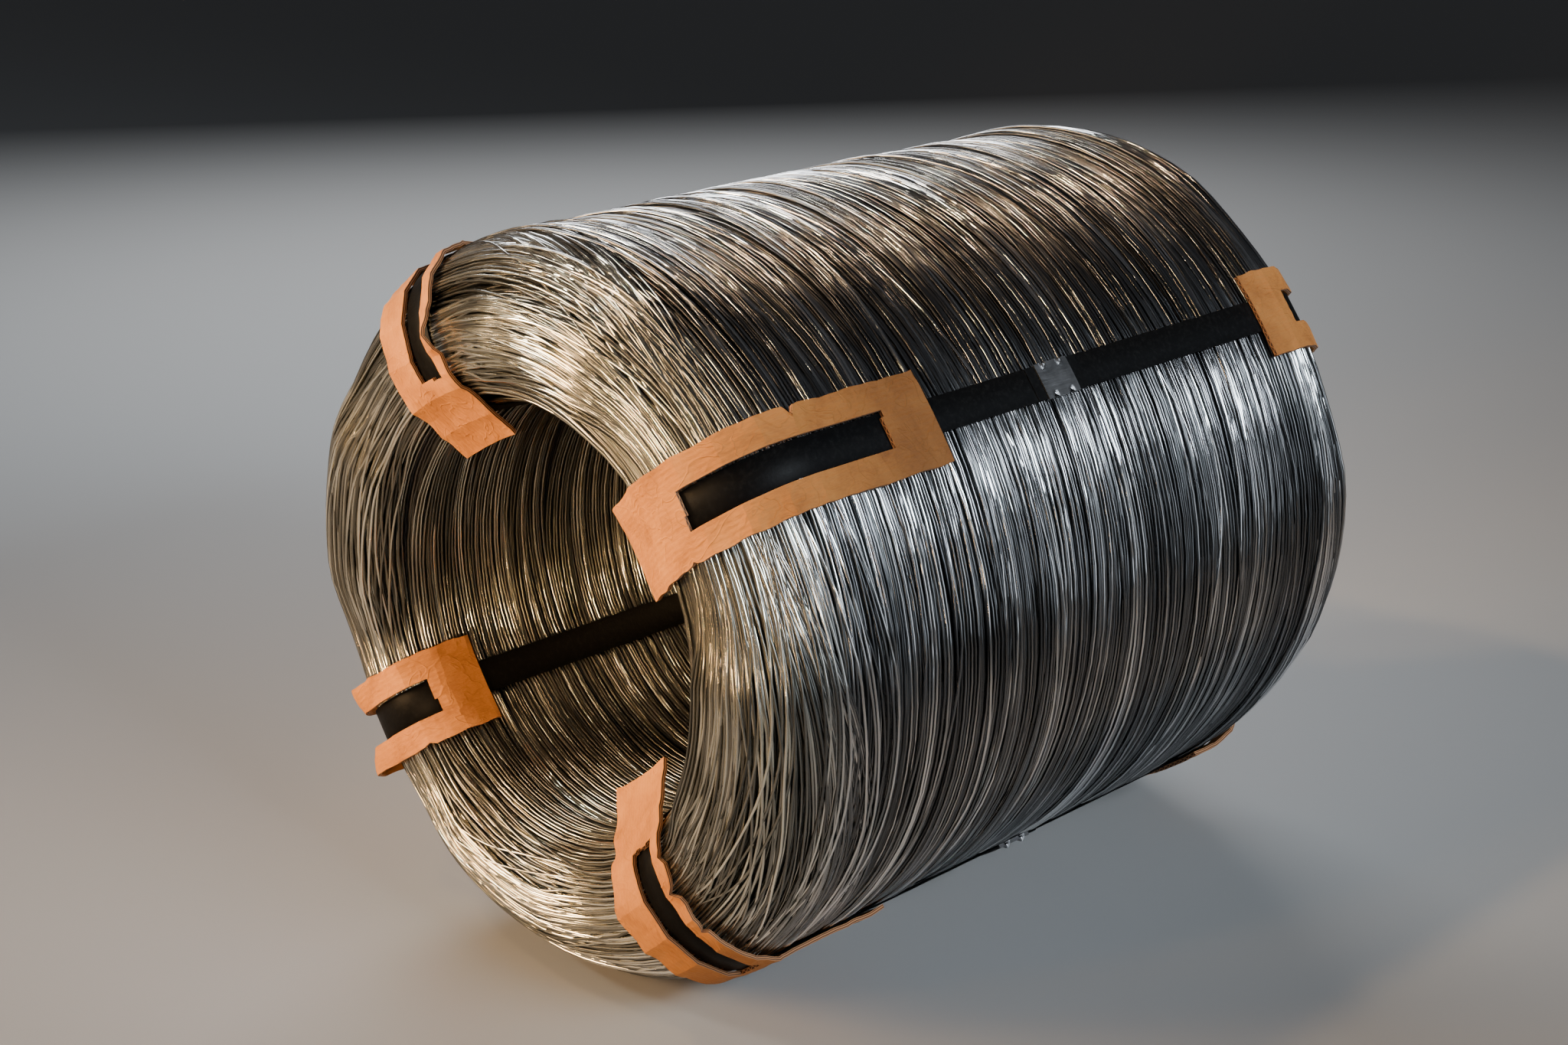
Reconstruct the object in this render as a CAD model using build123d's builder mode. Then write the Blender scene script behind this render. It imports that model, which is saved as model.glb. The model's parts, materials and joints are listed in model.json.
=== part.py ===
from build123d import *
import os

# Coil of galvanized wire, lying on its side, tied with four steel straps.
# Millimetres. The coil's axis runs along Y, the near end is at -Y, and z = 0 is the floor.

# Wire coil
outer_diameter = 700.0
bore_diameter = 400.0
coil_length = 800.0
shoulder_radius = 90.0
crest_width = 5.0

# Layers of turns that show on the two ends, as flat bands with a V groove between each two
shoulder_bands = 4
mouth_bands = 3
groove_side = 3.0

# Steel straps, each one closed loop along the bore, over both ends and along the outside
strap_angles = (128.0, 38.0, 216.0, 305.5)
strap_width = 32.0
strap_thickness = 0.8
strap_clearance = 0.1

# Crimped seals, each a sleeve round the lap where its strap's two ends meet
seal_places = (-25.0, -10.0, 15.0, 25.0)
seal_length = 42.0
seal_thickness = 0.9
seal_clearance = 0.15
seal_edge_clearance = 0.2
lap_overhang = 12.0
notch_side = 5.0
notch_spacing = 20.0

# Cardboard edge protectors over each strap at both ends, with a window that shows the strap
board_width = 86.0
board_thickness = 4.0
board_clearance = 0.3
near_tail = 140.0
far_tail = 30.0
board_wrap = 50.0
window_border = 50.0
window_wrap = 12.0
window_clearance = 1.5

# Sizes that follow
outer_radius = outer_diameter / 2
bore_radius = bore_diameter / 2
half_length = coil_length / 2
shoulder_x = outer_radius - shoulder_radius
mouth_x = shoulder_x - crest_width
mouth_radius = mouth_x - bore_radius
axis_point = (0, 0, outer_radius)
coil_axis = Axis(axis_point, (0, -1, 0))
reach = coil_length + outer_diameter
sector = 20.0
strap_top = strap_clearance + strap_thickness
strap_sag = outer_radius - (outer_radius**2 - (strap_width / 2) ** 2) ** 0.5
board_sag = bore_radius - (bore_radius**2 - (board_width / 2) ** 2) ** 0.5
seal_floor = outer_radius + strap_clearance - strap_sag - seal_clearance
seal_roof = outer_radius + strap_top + strap_thickness + seal_clearance
seal_bottom = seal_floor - seal_thickness
seal_top = seal_roof + seal_thickness
seal_inner_width = strap_width + 2 * seal_edge_clearance
seal_width = seal_inner_width + 2 * seal_thickness
board_bottom = strap_top + board_clearance
board_top = board_bottom + board_thickness


def section_plane(angle):
    """A plane through the coil's axis: its x is the radius and its y runs along the axis."""
    outward = Vector(1, 0, 0).rotate(Axis.Y, -angle)
    across = Vector(0, 0, 1).rotate(Axis.Y, -angle)
    return Plane(origin=axis_point, x_dir=outward, z_dir=across)


def spot(angle, radius, place):
    """A place on a strap's line, turned as its section plane is."""
    return section_plane(angle).location * Location((radius, place, 0))


def bent_corner(centre, radius, start, bands):
    """Points on a quarter circle, from a start angle, at the folds between its flat bands."""
    spokes = [Vector(radius, 0).rotate(Axis.Z, start + 90 * fold / bands) for fold in range(bands + 1)]
    return [Vector(*centre) + spoke for spoke in spokes]


def wall_section(stand_off, mouth_gap=0, mode=Mode.ADD):
    """The section of the coil's wall with all its faces moved outwards by the stand-off.

    A mouth gap moves the mouths and the bore further still towards the axis.
    """
    shoulder_y = half_length - shoulder_radius
    mouth_y = half_length - mouth_radius
    inner_x = mouth_x - mouth_gap
    points = [
        *bent_corner((shoulder_x, -shoulder_y), shoulder_radius, -90, shoulder_bands),
        *bent_corner((shoulder_x, shoulder_y), shoulder_radius, 0, shoulder_bands),
        *bent_corner((inner_x, mouth_y), mouth_radius, 90, mouth_bands),
        *bent_corner((inner_x, -mouth_y), mouth_radius, 180, mouth_bands),
    ]
    with BuildLine() as outline:
        Polyline(*points, close=True)
    wall = make_face(outline.edges(), mode=Mode.PRIVATE)
    if stand_off:
        offset(wall, amount=stand_off, kind=Kind.INTERSECTION, mode=mode)
    else:
        add(wall, mode=mode)


def end_zone(side, wrap, tail, mode):
    """The piece of a board's section from a wrap into the mouth to a tail on the outside."""
    turn_x = mouth_x - board_sag
    turn_y = half_length - mouth_radius
    into_bore = Vector(0, reach).rotate(Axis.Z, wrap) + Vector(turn_x, turn_y)
    tail_y = half_length - shoulder_radius - tail
    corners = [
        (turn_x, turn_y),
        (into_bore.X, into_bore.Y),
        (turn_x, 2 * reach),
        (2 * reach, 2 * reach),
        (2 * reach, tail_y),
        (turn_x, tail_y),
    ]
    Polygon(*[(x, side * y) for x, y in corners], align=None, mode=mode)


def layer_grooves(side, centre_x, radius, direction, bands):
    """Small squares set corner down at the folds of one rounded corner of the wall's section."""
    for fold in range(1, bands):
        lean = direction * 90 * fold / bands
        foot = Vector(0, radius).rotate(Axis.Z, -lean)
        with Locations((centre_x + foot.X, side * (half_length - radius + foot.Y))):
            Rectangle(groove_side, groove_side, rotation=45 - side * lean)


with BuildPart() as wire_coil:
    with BuildSketch(section_plane(0)):
        wall_section(0)
    revolve(axis=coil_axis)
    with BuildSketch(section_plane(0)):
        for end_side in (-1, 1):
            layer_grooves(end_side, shoulder_x, shoulder_radius, 1, shoulder_bands)
            layer_grooves(end_side, mouth_x, mouth_radius, -1, mouth_bands)
    revolve(axis=coil_axis, mode=Mode.SUBTRACT)
    pocket_floor = seal_bottom - seal_clearance
    pocket_depth = 2 * (outer_radius - pocket_floor)
    for angle, place in zip(strap_angles, seal_places):
        with Locations(spot(angle, pocket_floor, place)):
            Box(
                pocket_depth,
                seal_length + 2 * seal_clearance,
                seal_width + 2 * seal_clearance,
                align=(Align.MIN, Align.CENTER, Align.CENTER),
                mode=Mode.SUBTRACT,
            )
wire_coil.part.label = "wire_coil"


def make_strap(angle, place, name):
    """A closed loop of strap with its two ends lapped under the seal."""
    with BuildPart() as strap:
        with BuildSketch(section_plane(angle - sector / 2)):
            wall_section(strap_top)
            wall_section(strap_clearance, mode=Mode.SUBTRACT)
            with Locations((outer_radius + strap_top, place)):
                Rectangle(
                    strap_thickness,
                    seal_length + 2 * lap_overhang,
                    align=(Align.MIN, Align.CENTER),
                )
        revolve(axis=coil_axis, revolution_arc=sector)
        with Locations(section_plane(angle)):
            Box(2 * reach, 2 * reach, strap_width, mode=Mode.INTERSECT)
    strap.part.label = name
    return strap.part


def make_seal(angle, place, name):
    """A flat steel sleeve with two crimp notches in each long edge."""
    with BuildPart() as seal:
        with Locations(spot(angle, seal_bottom, place)):
            Box(
                seal_top - seal_bottom,
                seal_length,
                seal_width,
                align=(Align.MIN, Align.CENTER, Align.CENTER),
            )
        with Locations(spot(angle, seal_floor, place)):
            Box(
                seal_roof - seal_floor,
                2 * seal_length,
                seal_inner_width,
                align=(Align.MIN, Align.CENTER, Align.CENTER),
                mode=Mode.SUBTRACT,
            )
        outside = spot(angle, seal_top, place)
        outward = section_plane(angle).x_dir
        with BuildSketch(Plane(origin=outside.position, x_dir=(0, 1, 0), z_dir=outward)):
            with GridLocations(notch_spacing, seal_width, 2, 2):
                Rectangle(notch_side, notch_side, rotation=45)
        extrude(amount=-2 * (seal_top - seal_bottom), mode=Mode.SUBTRACT)
    seal.part.label = name
    return seal.part


def make_protector(angle, side, tail, name):
    """A flat strip of cardboard folded over one end of a strap, with its window cut out."""
    with BuildPart() as board:
        with BuildSketch(section_plane(angle)):
            wall_section(board_top, board_sag)
            wall_section(board_bottom, board_sag, mode=Mode.SUBTRACT)
            end_zone(side, board_wrap, tail, Mode.INTERSECT)
        extrude(amount=board_width / 2, both=True)
        with BuildSketch(section_plane(angle)):
            end_zone(side, window_wrap, tail - window_border, Mode.ADD)
        extrude(amount=strap_width / 2 + window_clearance, both=True, mode=Mode.SUBTRACT)
    board.part.label = name
    return board.part


pieces = [wire_coil.part]
for number, (angle, place) in enumerate(zip(strap_angles, seal_places), start=1):
    pieces.append(make_strap(angle, place, f"strap_{number}"))
    pieces.append(make_seal(angle, place, f"seal_{number}"))
    pieces.append(make_protector(angle, -1, near_tail, f"near_protector_{number}"))
    pieces.append(make_protector(angle, 1, far_tail, f"far_protector_{number}"))

os.makedirs("parts", exist_ok=True)
for piece in pieces:
    export_step(piece, f"parts/{piece.label}.step")
    print(piece.label, round(piece.volume), "mm3")
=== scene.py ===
# %% [markdown]
# # A coil of galvanized wire
#
# Some thousand loose turns of bright wire lie on their side, tied by four black steel straps that
# run through the eye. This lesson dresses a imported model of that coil: the model gives the sizes,
# and each cell below makes one piece or one finish around it.

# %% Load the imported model
import json
import math

import bmesh
import bpy
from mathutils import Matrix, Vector, noise


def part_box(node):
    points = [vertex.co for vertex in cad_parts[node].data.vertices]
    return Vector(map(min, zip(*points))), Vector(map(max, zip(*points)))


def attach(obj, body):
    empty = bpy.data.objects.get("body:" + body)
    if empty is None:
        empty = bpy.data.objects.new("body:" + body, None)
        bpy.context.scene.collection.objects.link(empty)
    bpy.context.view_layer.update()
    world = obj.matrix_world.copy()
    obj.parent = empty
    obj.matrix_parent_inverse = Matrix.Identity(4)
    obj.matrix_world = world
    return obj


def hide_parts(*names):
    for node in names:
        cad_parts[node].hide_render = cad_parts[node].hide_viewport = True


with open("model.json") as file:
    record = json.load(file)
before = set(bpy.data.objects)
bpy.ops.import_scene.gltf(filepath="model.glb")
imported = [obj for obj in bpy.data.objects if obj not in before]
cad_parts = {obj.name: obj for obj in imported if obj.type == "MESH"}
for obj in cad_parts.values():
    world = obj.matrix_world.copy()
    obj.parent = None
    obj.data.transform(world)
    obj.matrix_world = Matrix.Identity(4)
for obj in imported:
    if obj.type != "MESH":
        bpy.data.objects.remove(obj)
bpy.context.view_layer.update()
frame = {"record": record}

# %% [markdown]
# The main sizes are read from the model, so nothing here has to be fitted afterwards. The axis of
# the coil runs along Y, and its near end is at -Y. The straps' places round the coil come from
# their seals, which lie on the outside of the coil.

# %% Sizes of the coil
coil_low, coil_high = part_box("wire_coil")
axis_height = (coil_low.z + coil_high.z) / 2
outer_radius = (coil_high.z - coil_low.z) / 2
half_length = (coil_high.y - coil_low.y) / 2
eye = frame["record"]["mounts"][0]["dims"]
bore_radius = eye["r_mm"] / 1000
mouth_radius = half_length - eye["length_mm"] / 2000
crest_width = 0.005
shoulder_radius = outer_radius - bore_radius - mouth_radius - crest_width

strap_numbers = (1, 2, 3, 4)
strap_width = 0.032
strap_thickness = 0.0008
strap_gap = 0.0001


def middle_of(node):
    """The middle of a node's box."""
    low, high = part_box(node)
    return (low + high) / 2


def azimuth_of(node):
    """The angle round the coil's axis at which a node lies, from +X towards +Z."""
    middle = middle_of(node)
    return math.atan2(middle.z - axis_height, middle.x)


strap_azimuths = [azimuth_of(f"seal_{number}") for number in strap_numbers]
print("straps at", [round(math.degrees(a)) % 360 for a in strap_azimuths])

# %% [markdown]
# Everything on this coil follows one line: the outline of its wall, cut lengthwise. It starts in
# the middle of the eye, runs to the near mouth, over the near end's rounded shoulder, along the
# outside and back over the far end. A place on it is one number, the distance walked. The next
# cell turns that number into a radius, a place along the axis, and the direction that points out.

# %% The outline of the wall
quarter = math.pi / 2
mouth_x = bore_radius + mouth_radius
shoulder_x = outer_radius - shoulder_radius
bore_run = half_length - mouth_radius
outer_run = 2 * (half_length - shoulder_radius)
stretches = [
    ("line", bore_run, (bore_radius, 0), (0, -1)),
    ("arc", mouth_radius, (mouth_x, -bore_run), 180),
    ("line", crest_width, (mouth_x, -half_length), (1, 0)),
    ("arc", shoulder_radius, (shoulder_x, -outer_run / 2), 270),
    ("line", outer_run, (outer_radius, -outer_run / 2), (0, 1)),
    ("arc", shoulder_radius, (shoulder_x, outer_run / 2), 0),
    ("line", crest_width, (shoulder_x, half_length), (-1, 0)),
    ("arc", mouth_radius, (mouth_x, bore_run), 90),
    ("line", bore_run, (bore_radius, bore_run), (0, -1)),
]


def stretch_length(stretch):
    """How long a line or quarter circle of the outline is."""
    kind, size = stretch[:2]
    return size * quarter if kind == "arc" else size


starts = [0.0]
for stretch in stretches:
    starts.append(starts[-1] + stretch_length(stretch))
outline_length = starts[-1]
near_mouth, near_shoulder, outside_start = starts[1], starts[3], starts[4]
far_shoulder_end, far_mouth_end = starts[6], starts[8]


def on_outline(place):
    """Radius, place along the axis, and outward direction at a distance along the outline."""
    place %= outline_length
    number = max(i for i in range(len(stretches)) if starts[i] <= place)
    kind, size, origin, heading = stretches[number]
    walked = place - starts[number]
    if kind == "line":
        out = (heading[1], -heading[0])
        return origin[0] + heading[0] * walked, origin[1] + heading[1] * walked, out
    turned = math.radians(heading) + walked / size
    out = (math.cos(turned), math.sin(turned))
    return origin[0] + size * out[0], origin[1] + size * out[1], out


def point_at(azimuth, radius, along, across):
    """A point from its angle round the axis, its radius, and its places along and across."""
    outward = Vector((math.cos(azimuth), 0, math.sin(azimuth)))
    sideways = Vector((-math.sin(azimuth), 0, math.cos(azimuth)))
    return Vector((0, along, axis_height)) + outward * radius + sideways * across


def on_coil(azimuth, place, height=0.0, across=0.0):
    """A point on the coil's skin, raised by a height and moved across the section's plane."""
    radius, along, out = on_outline(place)
    radius += out[0] * height - abs(out[0]) * across**2 / (2 * radius)
    return point_at(azimuth, radius, along + out[1] * height, across)


print("outline", round(outline_length, 3), "m long")

# %% [markdown]
# Finishes are nodes, never pictures. A small helper keeps them short: it makes a material with one
# Principled shader and gives functions to add nodes and join them.

# %% Helpers for finishes
def new_finish(name):
    """A material with one shader, and its tree."""
    material = bpy.data.materials.new(name)
    material.use_nodes = True
    tree = material.node_tree
    tree.nodes.clear()
    shader = tree.nodes.new("ShaderNodeBsdfPrincipled")
    output = tree.nodes.new("ShaderNodeOutputMaterial")
    tree.links.new(shader.outputs["BSDF"], output.inputs["Surface"])
    return material, tree, shader


def put(tree, target, value):
    """Joins a socket to an input, or writes a constant into it."""
    if isinstance(value, bpy.types.NodeSocket):
        tree.links.new(value, target)
    elif value is not None:
        target.default_value = value


def fill(tree, node, inputs):
    """Fills some inputs of a node."""
    for name, value in inputs.items():
        put(tree, node.inputs[name], value)


def node_of(tree, kind, inputs=None, **settings):
    """Adds a node, sets its settings and fills its inputs."""
    node = tree.nodes.new(kind)
    for name, value in settings.items():
        setattr(node, name, value)
    fill(tree, node, inputs or {})
    return node


def noise_of(tree, vector, scale, detail=2.0, roughness=0.5, distortion=0.0):
    """A noise pattern between 0 and 1."""
    numbers = {"Scale": scale, "Detail": detail, "Roughness": roughness, "Distortion": distortion}
    return node_of(tree, "ShaderNodeTexNoise", {"Vector": vector, **numbers}).outputs["Fac"]


def ramp_of(tree, factor, *stops):
    """A colour ramp with stops of place and colour."""
    node = node_of(tree, "ShaderNodeValToRGB", {"Fac": factor})
    elements = node.color_ramp.elements
    while len(elements) < len(stops):
        elements.new(0.5)
    for element, (place, colour) in zip(elements, stops):
        element.position = place
        element.color = (*colour, 1)
    return node.outputs["Color"]


def map_range(tree, value, low, high, to_low, to_high):
    """Stretches a value from one range to another and keeps it inside."""
    numbers = {"From Min": low, "From Max": high, "To Min": to_low, "To Max": to_high}
    return node_of(tree, "ShaderNodeMapRange", {"Value": value, **numbers}).outputs["Result"]


def maths(tree, operation, *values):
    """A Math node on two or three values."""
    return node_of(tree, "ShaderNodeMath", dict(enumerate(values)), operation=operation).outputs[0]


def vector_of(tree, x, y, z):
    """A vector from three values."""
    return node_of(tree, "ShaderNodeCombineXYZ", {"X": x, "Y": y, "Z": z}).outputs[0]


def parts_of(tree, vector):
    """The X, Y and Z of a vector."""
    return node_of(tree, "ShaderNodeSeparateXYZ", {0: vector}).outputs


def bump_of(tree, height, strength, distance):
    """A bump from a height pattern."""
    numbers = {"Strength": strength, "Distance": distance, "Height": height}
    return node_of(tree, "ShaderNodeBump", numbers).outputs["Normal"]


def object_place(tree, scale=(1, 1, 1)):
    """The place on the object in metres, stretched along its axes."""
    place = node_of(tree, "ShaderNodeTexCoord").outputs["Object"]
    return node_of(tree, "ShaderNodeMapping", {"Vector": place, "Scale": scale}).outputs["Vector"]


# %% [markdown]
# Galvanized wire is drawn steel with a thin zinc coat. Clean turns are nearly mirrors, older or
# rubbed ones are duller and greyer, and each turn differs a little from its neighbour. That is why
# the winding cells below leave two attributes on every turn: tint, its own shade, and flow, which
# neighbours in a ribbon share. Slow noises bend the light along each turn, so it shines in streaks.
# On the near end and along the eye the metal is painted a little yellower and less of a mirror,
# a painted warm light.

# %% The wire's finish
streak_depth = 0.015
painted_warmth_metallic = 0.91
painted_warmth_green = 0.97
painted_warmth_blue = 0.82


def painted_warmth_of(tree, place):
    """1 on the near end and along the eye, where the turns get a painted warm light, and 0 on the outside.
    """
    inputs = {"Vector": place, "Location": (0, 0, -axis_height), "Scale": (1, 0, 1)}
    from_axis = node_of(tree, "ShaderNodeMapping", inputs).outputs["Vector"]
    from_axis = node_of(tree, "ShaderNodeVectorMath", {0: from_axis}, operation="LENGTH").outputs["Value"]
    in_eye = map_range(tree, from_axis, 0.23, 0.3, 1.0, 0.0)
    on_end = map_range(tree, parts_of(tree, place)["Y"], -0.39, -0.32, 1.0, 0.0)
    return maths(tree, "MAXIMUM", in_eye, on_end)


def wandering(tree, place, seed, scale):
    """A slow noise that differs for each seed, so that neighbours bend apart."""
    inputs = {"Vector": place, "W": seed, "Scale": scale, "Detail": 1.0}
    return node_of(tree, "ShaderNodeTexNoise", inputs, noise_dimensions="4D").outputs["Fac"]


def make_wire_finish():
    """Bright zinc whose shade and polish change from turn to turn and slowly along each turn."""
    material, tree, shader = new_finish("galvanized_wire")
    tint = node_of(tree, "ShaderNodeAttribute", attribute_name="tint").outputs["Fac"]
    flow = node_of(tree, "ShaderNodeAttribute", attribute_name="flow").outputs["Fac"]
    place = object_place(tree)
    cloud = noise_of(tree, place, 7.0, 3.0, 0.6)
    shade = maths(tree, "MULTIPLY", tint, maths(tree, "ADD", cloud, 0.5))
    zinc = ramp_of(
        tree, shade, (0.08, (0.1, 0.102, 0.105)), (0.38, (0.18, 0.183, 0.188)),
        (0.58, (0.3, 0.304, 0.312)), (0.86, (0.85, 0.85, 0.85)),
    )
    # Painted warm light: the near end and the eye are painted yellower and given less metal.
    painted_warmth = painted_warmth_of(tree, place)
    green, blue = [map_range(tree, painted_warmth, 0.0, 1.0, 1.0, kept) for kept in (painted_warmth_green, painted_warmth_blue)]
    inputs = {0: zinc, 1: vector_of(tree, 1.0, green, blue)}
    zinc = node_of(tree, "ShaderNodeVectorMath", inputs, operation="MULTIPLY").outputs["Vector"]
    worn = maths(tree, "MULTIPLY_ADD", cloud, 0.5, maths(tree, "MULTIPLY", tint, -0.7))
    ribbon_bend = maths(tree, "MULTIPLY", wandering(tree, place, flow, 6.0), 0.15)
    own_seed = maths(tree, "MULTIPLY", tint, 90.0)
    wire_bend = wandering(tree, place, own_seed, 9.0)
    kink = wandering(tree, place, own_seed, 26.0)
    bends = maths(tree, "MULTIPLY_ADD", wire_bend, 0.75, ribbon_bend)
    bends = maths(tree, "MULTIPLY_ADD", kink, 0.17, bends)
    fill(tree, shader, {
        "Base Color": zinc,
        "Metallic": map_range(tree, painted_warmth, 0.0, 1.0, 1.0, painted_warmth_metallic),
        "Roughness": map_range(tree, worn, -0.4, 0.2, 0.11, 0.31),
        "Normal": bump_of(tree, bends, 1.0, streak_depth),
    })
    return material


wire_finish = make_wire_finish()
print("finish", wire_finish.name)

# %% [markdown]
# Under the turns that show lies a plain turned core, a few millimetres down. It only fills the
# gaps between the turns, so its finish is the same metal in deep shade, grooved like wire.

# %% The core's finish
def make_core_finish():
    """Dark metal with fine grooves that run round the coil."""
    material, tree, shader = new_finish("wire_in_shade")
    groove = node_of(
        tree, "ShaderNodeTexWave", {"Vector": object_place(tree), "Scale": 115.0, "Distortion": 2.0},
        bands_direction="Y",
    ).outputs["Fac"]
    colour = ramp_of(tree, groove, (0.2, (0.02, 0.02, 0.021)), (0.9, (0.14, 0.14, 0.145)))
    relief = bump_of(tree, groove, 0.5, 0.002)
    fill(tree, shader, {"Base Color": colour, "Metallic": 0.8, "Roughness": 0.55, "Normal": relief})
    return material


core_finish = make_core_finish()
print("finish", core_finish.name)

# %% [markdown]
# The core is the outline, moved inwards and turned once round the axis. A grid of points is easy
# to make by two loops, and because both loops close on themselves, so does the surface. On top of
# the near end a shallow valley parts two bundles of turns, so the core is lower there as well.

# %% The core
core_depth = 0.0085
core_steps_round = 96
core_steps_along = 120
valley_place = 0.5
valley_azimuth = math.radians(98)
valley_reach = 0.026
valley_depth = 0.019
valley_power = 8


def grid_mesh(name, rows, close_rows, close_columns):
    """A mesh of quads from rows of points, closed in either direction."""
    mesh = bpy.data.meshes.new(name)
    height, width = len(rows), len(rows[0])
    points = [point for row in rows for point in row]
    faces = []
    for i in range(height if close_rows else height - 1):
        for j in range(width if close_columns else width - 1):
            i2, j2 = (i + 1) % height, (j + 1) % width
            faces.append((i * width + j, i * width + j2, i2 * width + j2, i2 * width + j))
    mesh.from_pydata(points, [], faces)
    return mesh


def shade_smooth(mesh):
    """Smooth shading on every face."""
    mesh.polygons.foreach_set("use_smooth", [True] * len(mesh.polygons))


def face_outwards(mesh, change=None):
    """Makes a change to a mesh, if one is given, and turns every face out of its closed shell."""
    work = bmesh.new()
    work.from_mesh(mesh)
    if change:
        change(work)
    bmesh.ops.recalc_face_normals(work, faces=work.faces)
    work.to_mesh(mesh)
    work.free()


def add_object(name, data):
    """Adds an object to the scene."""
    thing = bpy.data.objects.new(name, data)
    bpy.context.scene.collection.objects.link(thing)
    return thing


def new_piece(name, mesh, material, slot, *nodes):
    """Adds a finished mesh to the scene as one piece that stands for some nodes of the model."""
    piece = add_object(name, mesh)
    mesh.materials.clear()
    mesh.materials.append(material)
    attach(piece, "root")
    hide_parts(*nodes)
    return piece


def valley_at(azimuth, place):
    """How deep the valley between two bundles of the near end is at a place."""
    aside = (place - valley_place) / valley_reach
    facing = (math.cos(azimuth - valley_azimuth) + 1) / 2
    return valley_depth * math.exp(-aside * aside) * facing**valley_power


def make_core():
    """The turned core under the wires."""
    azimuths = [math.tau * i / core_steps_round for i in range(core_steps_round)]
    places = [outline_length * j / core_steps_along for j in range(core_steps_along)]
    rows = [[on_coil(a, place, -core_depth - valley_at(a, place)) for place in places] for a in azimuths]
    mesh = grid_mesh("coil_core", rows, True, True)
    face_outwards(mesh)
    shade_smooth(mesh)
    return new_piece("coil_core", mesh, core_finish, "galvanized_wire", "wire_coil")


core = make_core()
print("core", len(core.data.polygons), "faces")

# %% [markdown]
# The turns follow a rule, so Geometry Nodes wind them. One tree does it all: it makes a closed
# ring for every turn, hands each point of the ring its angle round the coil, and then looks up
# where that turn lies on the outline, which the tree gets as a curve.

# %% The line that the turns are laid on
def make_outline_curve(points_per_arc=24):
    """The outline as a curve, with its radius as X and its place along the axis as Y."""
    places = []
    for stretch, start in zip(stretches, starts):
        steps = points_per_arc if stretch[0] == "arc" else 1
        places += [start + stretch_length(stretch) * i / steps for i in range(steps)]
    places.append(outline_length - 1e-6)
    curve = bpy.data.curves.new("outline", "CURVE")
    spline = curve.splines.new("POLY")
    spline.points.add(len(places) - 1)
    for point, place in zip(spline.points, places):
        radius, along, out = on_outline(place)
        point.co = (radius, along, 0, 1)
    return add_object("outline", curve)


outline_curve = make_outline_curve()
print("outline curve", len(outline_curve.data.splines[0].points), "points")


# %% Helpers for the winding tree
def new_tree(name, sockets):
    """A Geometry Nodes tree with named inputs. Gives the tree, its inputs and its output node."""
    tree = bpy.data.node_groups.new(name, "GeometryNodeTree")
    tree.interface.new_socket("Geometry", in_out="INPUT", socket_type="NodeSocketGeometry")
    for label, kind in sockets:
        tree.interface.new_socket(label, in_out="INPUT", socket_type="NodeSocket" + kind)
    tree.interface.new_socket("Geometry", in_out="OUTPUT", socket_type="NodeSocketGeometry")
    return tree, tree.nodes.new("NodeGroupInput").outputs, tree.nodes.new("NodeGroupOutput")


def random_of(tree, low, high, number, seed):
    """A random value that stays the same for the same number and seed."""
    node = tree.nodes.new("FunctionNodeRandomValue")
    put(tree, node.inputs[2], low)
    put(tree, node.inputs[3], high)
    put(tree, node.inputs["ID"], number)
    put(tree, node.inputs["Seed"], seed)
    return node.outputs[1]


def smooth_step(tree, value, low, high):
    """Rises smoothly from 0 to 1 as the value goes from low to high."""
    node = tree.nodes.new("ShaderNodeMapRange")
    node.interpolation_type = "SMOOTHSTEP"
    for name, entry in (("Value", value), ("From Min", low), ("From Max", high)):
        put(tree, node.inputs[name], entry)
    return node.outputs["Result"]


# %% [markdown]
# Turns are laid in ribbons of a few neighbours. A ribbon sways to and fro once or twice a turn,
# so ribbons cross each other at small angles and leave lens-shaped gaps, as on the real coil.
# Away from the straps it fans out and rises. Under a strap every turn is pressed down on its
# neighbours, and so are those that rest on the floor. Gather pulls turns together towards one
# place on one side of the coil, and Hollow sinks them into the valley.

# %% The winding tree
free_from_strap = math.cos(math.radians(32))
pressed_by_strap = math.cos(math.radians(11))
above_floor = 0.8
on_floor = 0.95
winding_numbers = (
    "Axis Height", "Outline Length", "Wire Radius", "First Place", "Last Place", "Pitch", "Scatter",
    "Sway", "Fan", "Wander", "Depth", "Layers", "Rise", "Bulge", "Gather", "Gather Place",
    "Gather Azimuth", "Hollow", "Hollow Place", "Hollow Azimuth", "Strap 1", "Strap 2", "Strap 3",
    "Strap 4", "Brightness",
)
winding_counts = ("Ribbons", "Turns per Ribbon", "Points per Turn", "Sides", "Seed")
winding_sockets = [("Outline", "Object"), ("Material", "Material")]
winding_sockets += [(label, "Int") for label in winding_counts]
winding_sockets += [(label, "Float") for label in winding_numbers]


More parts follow.
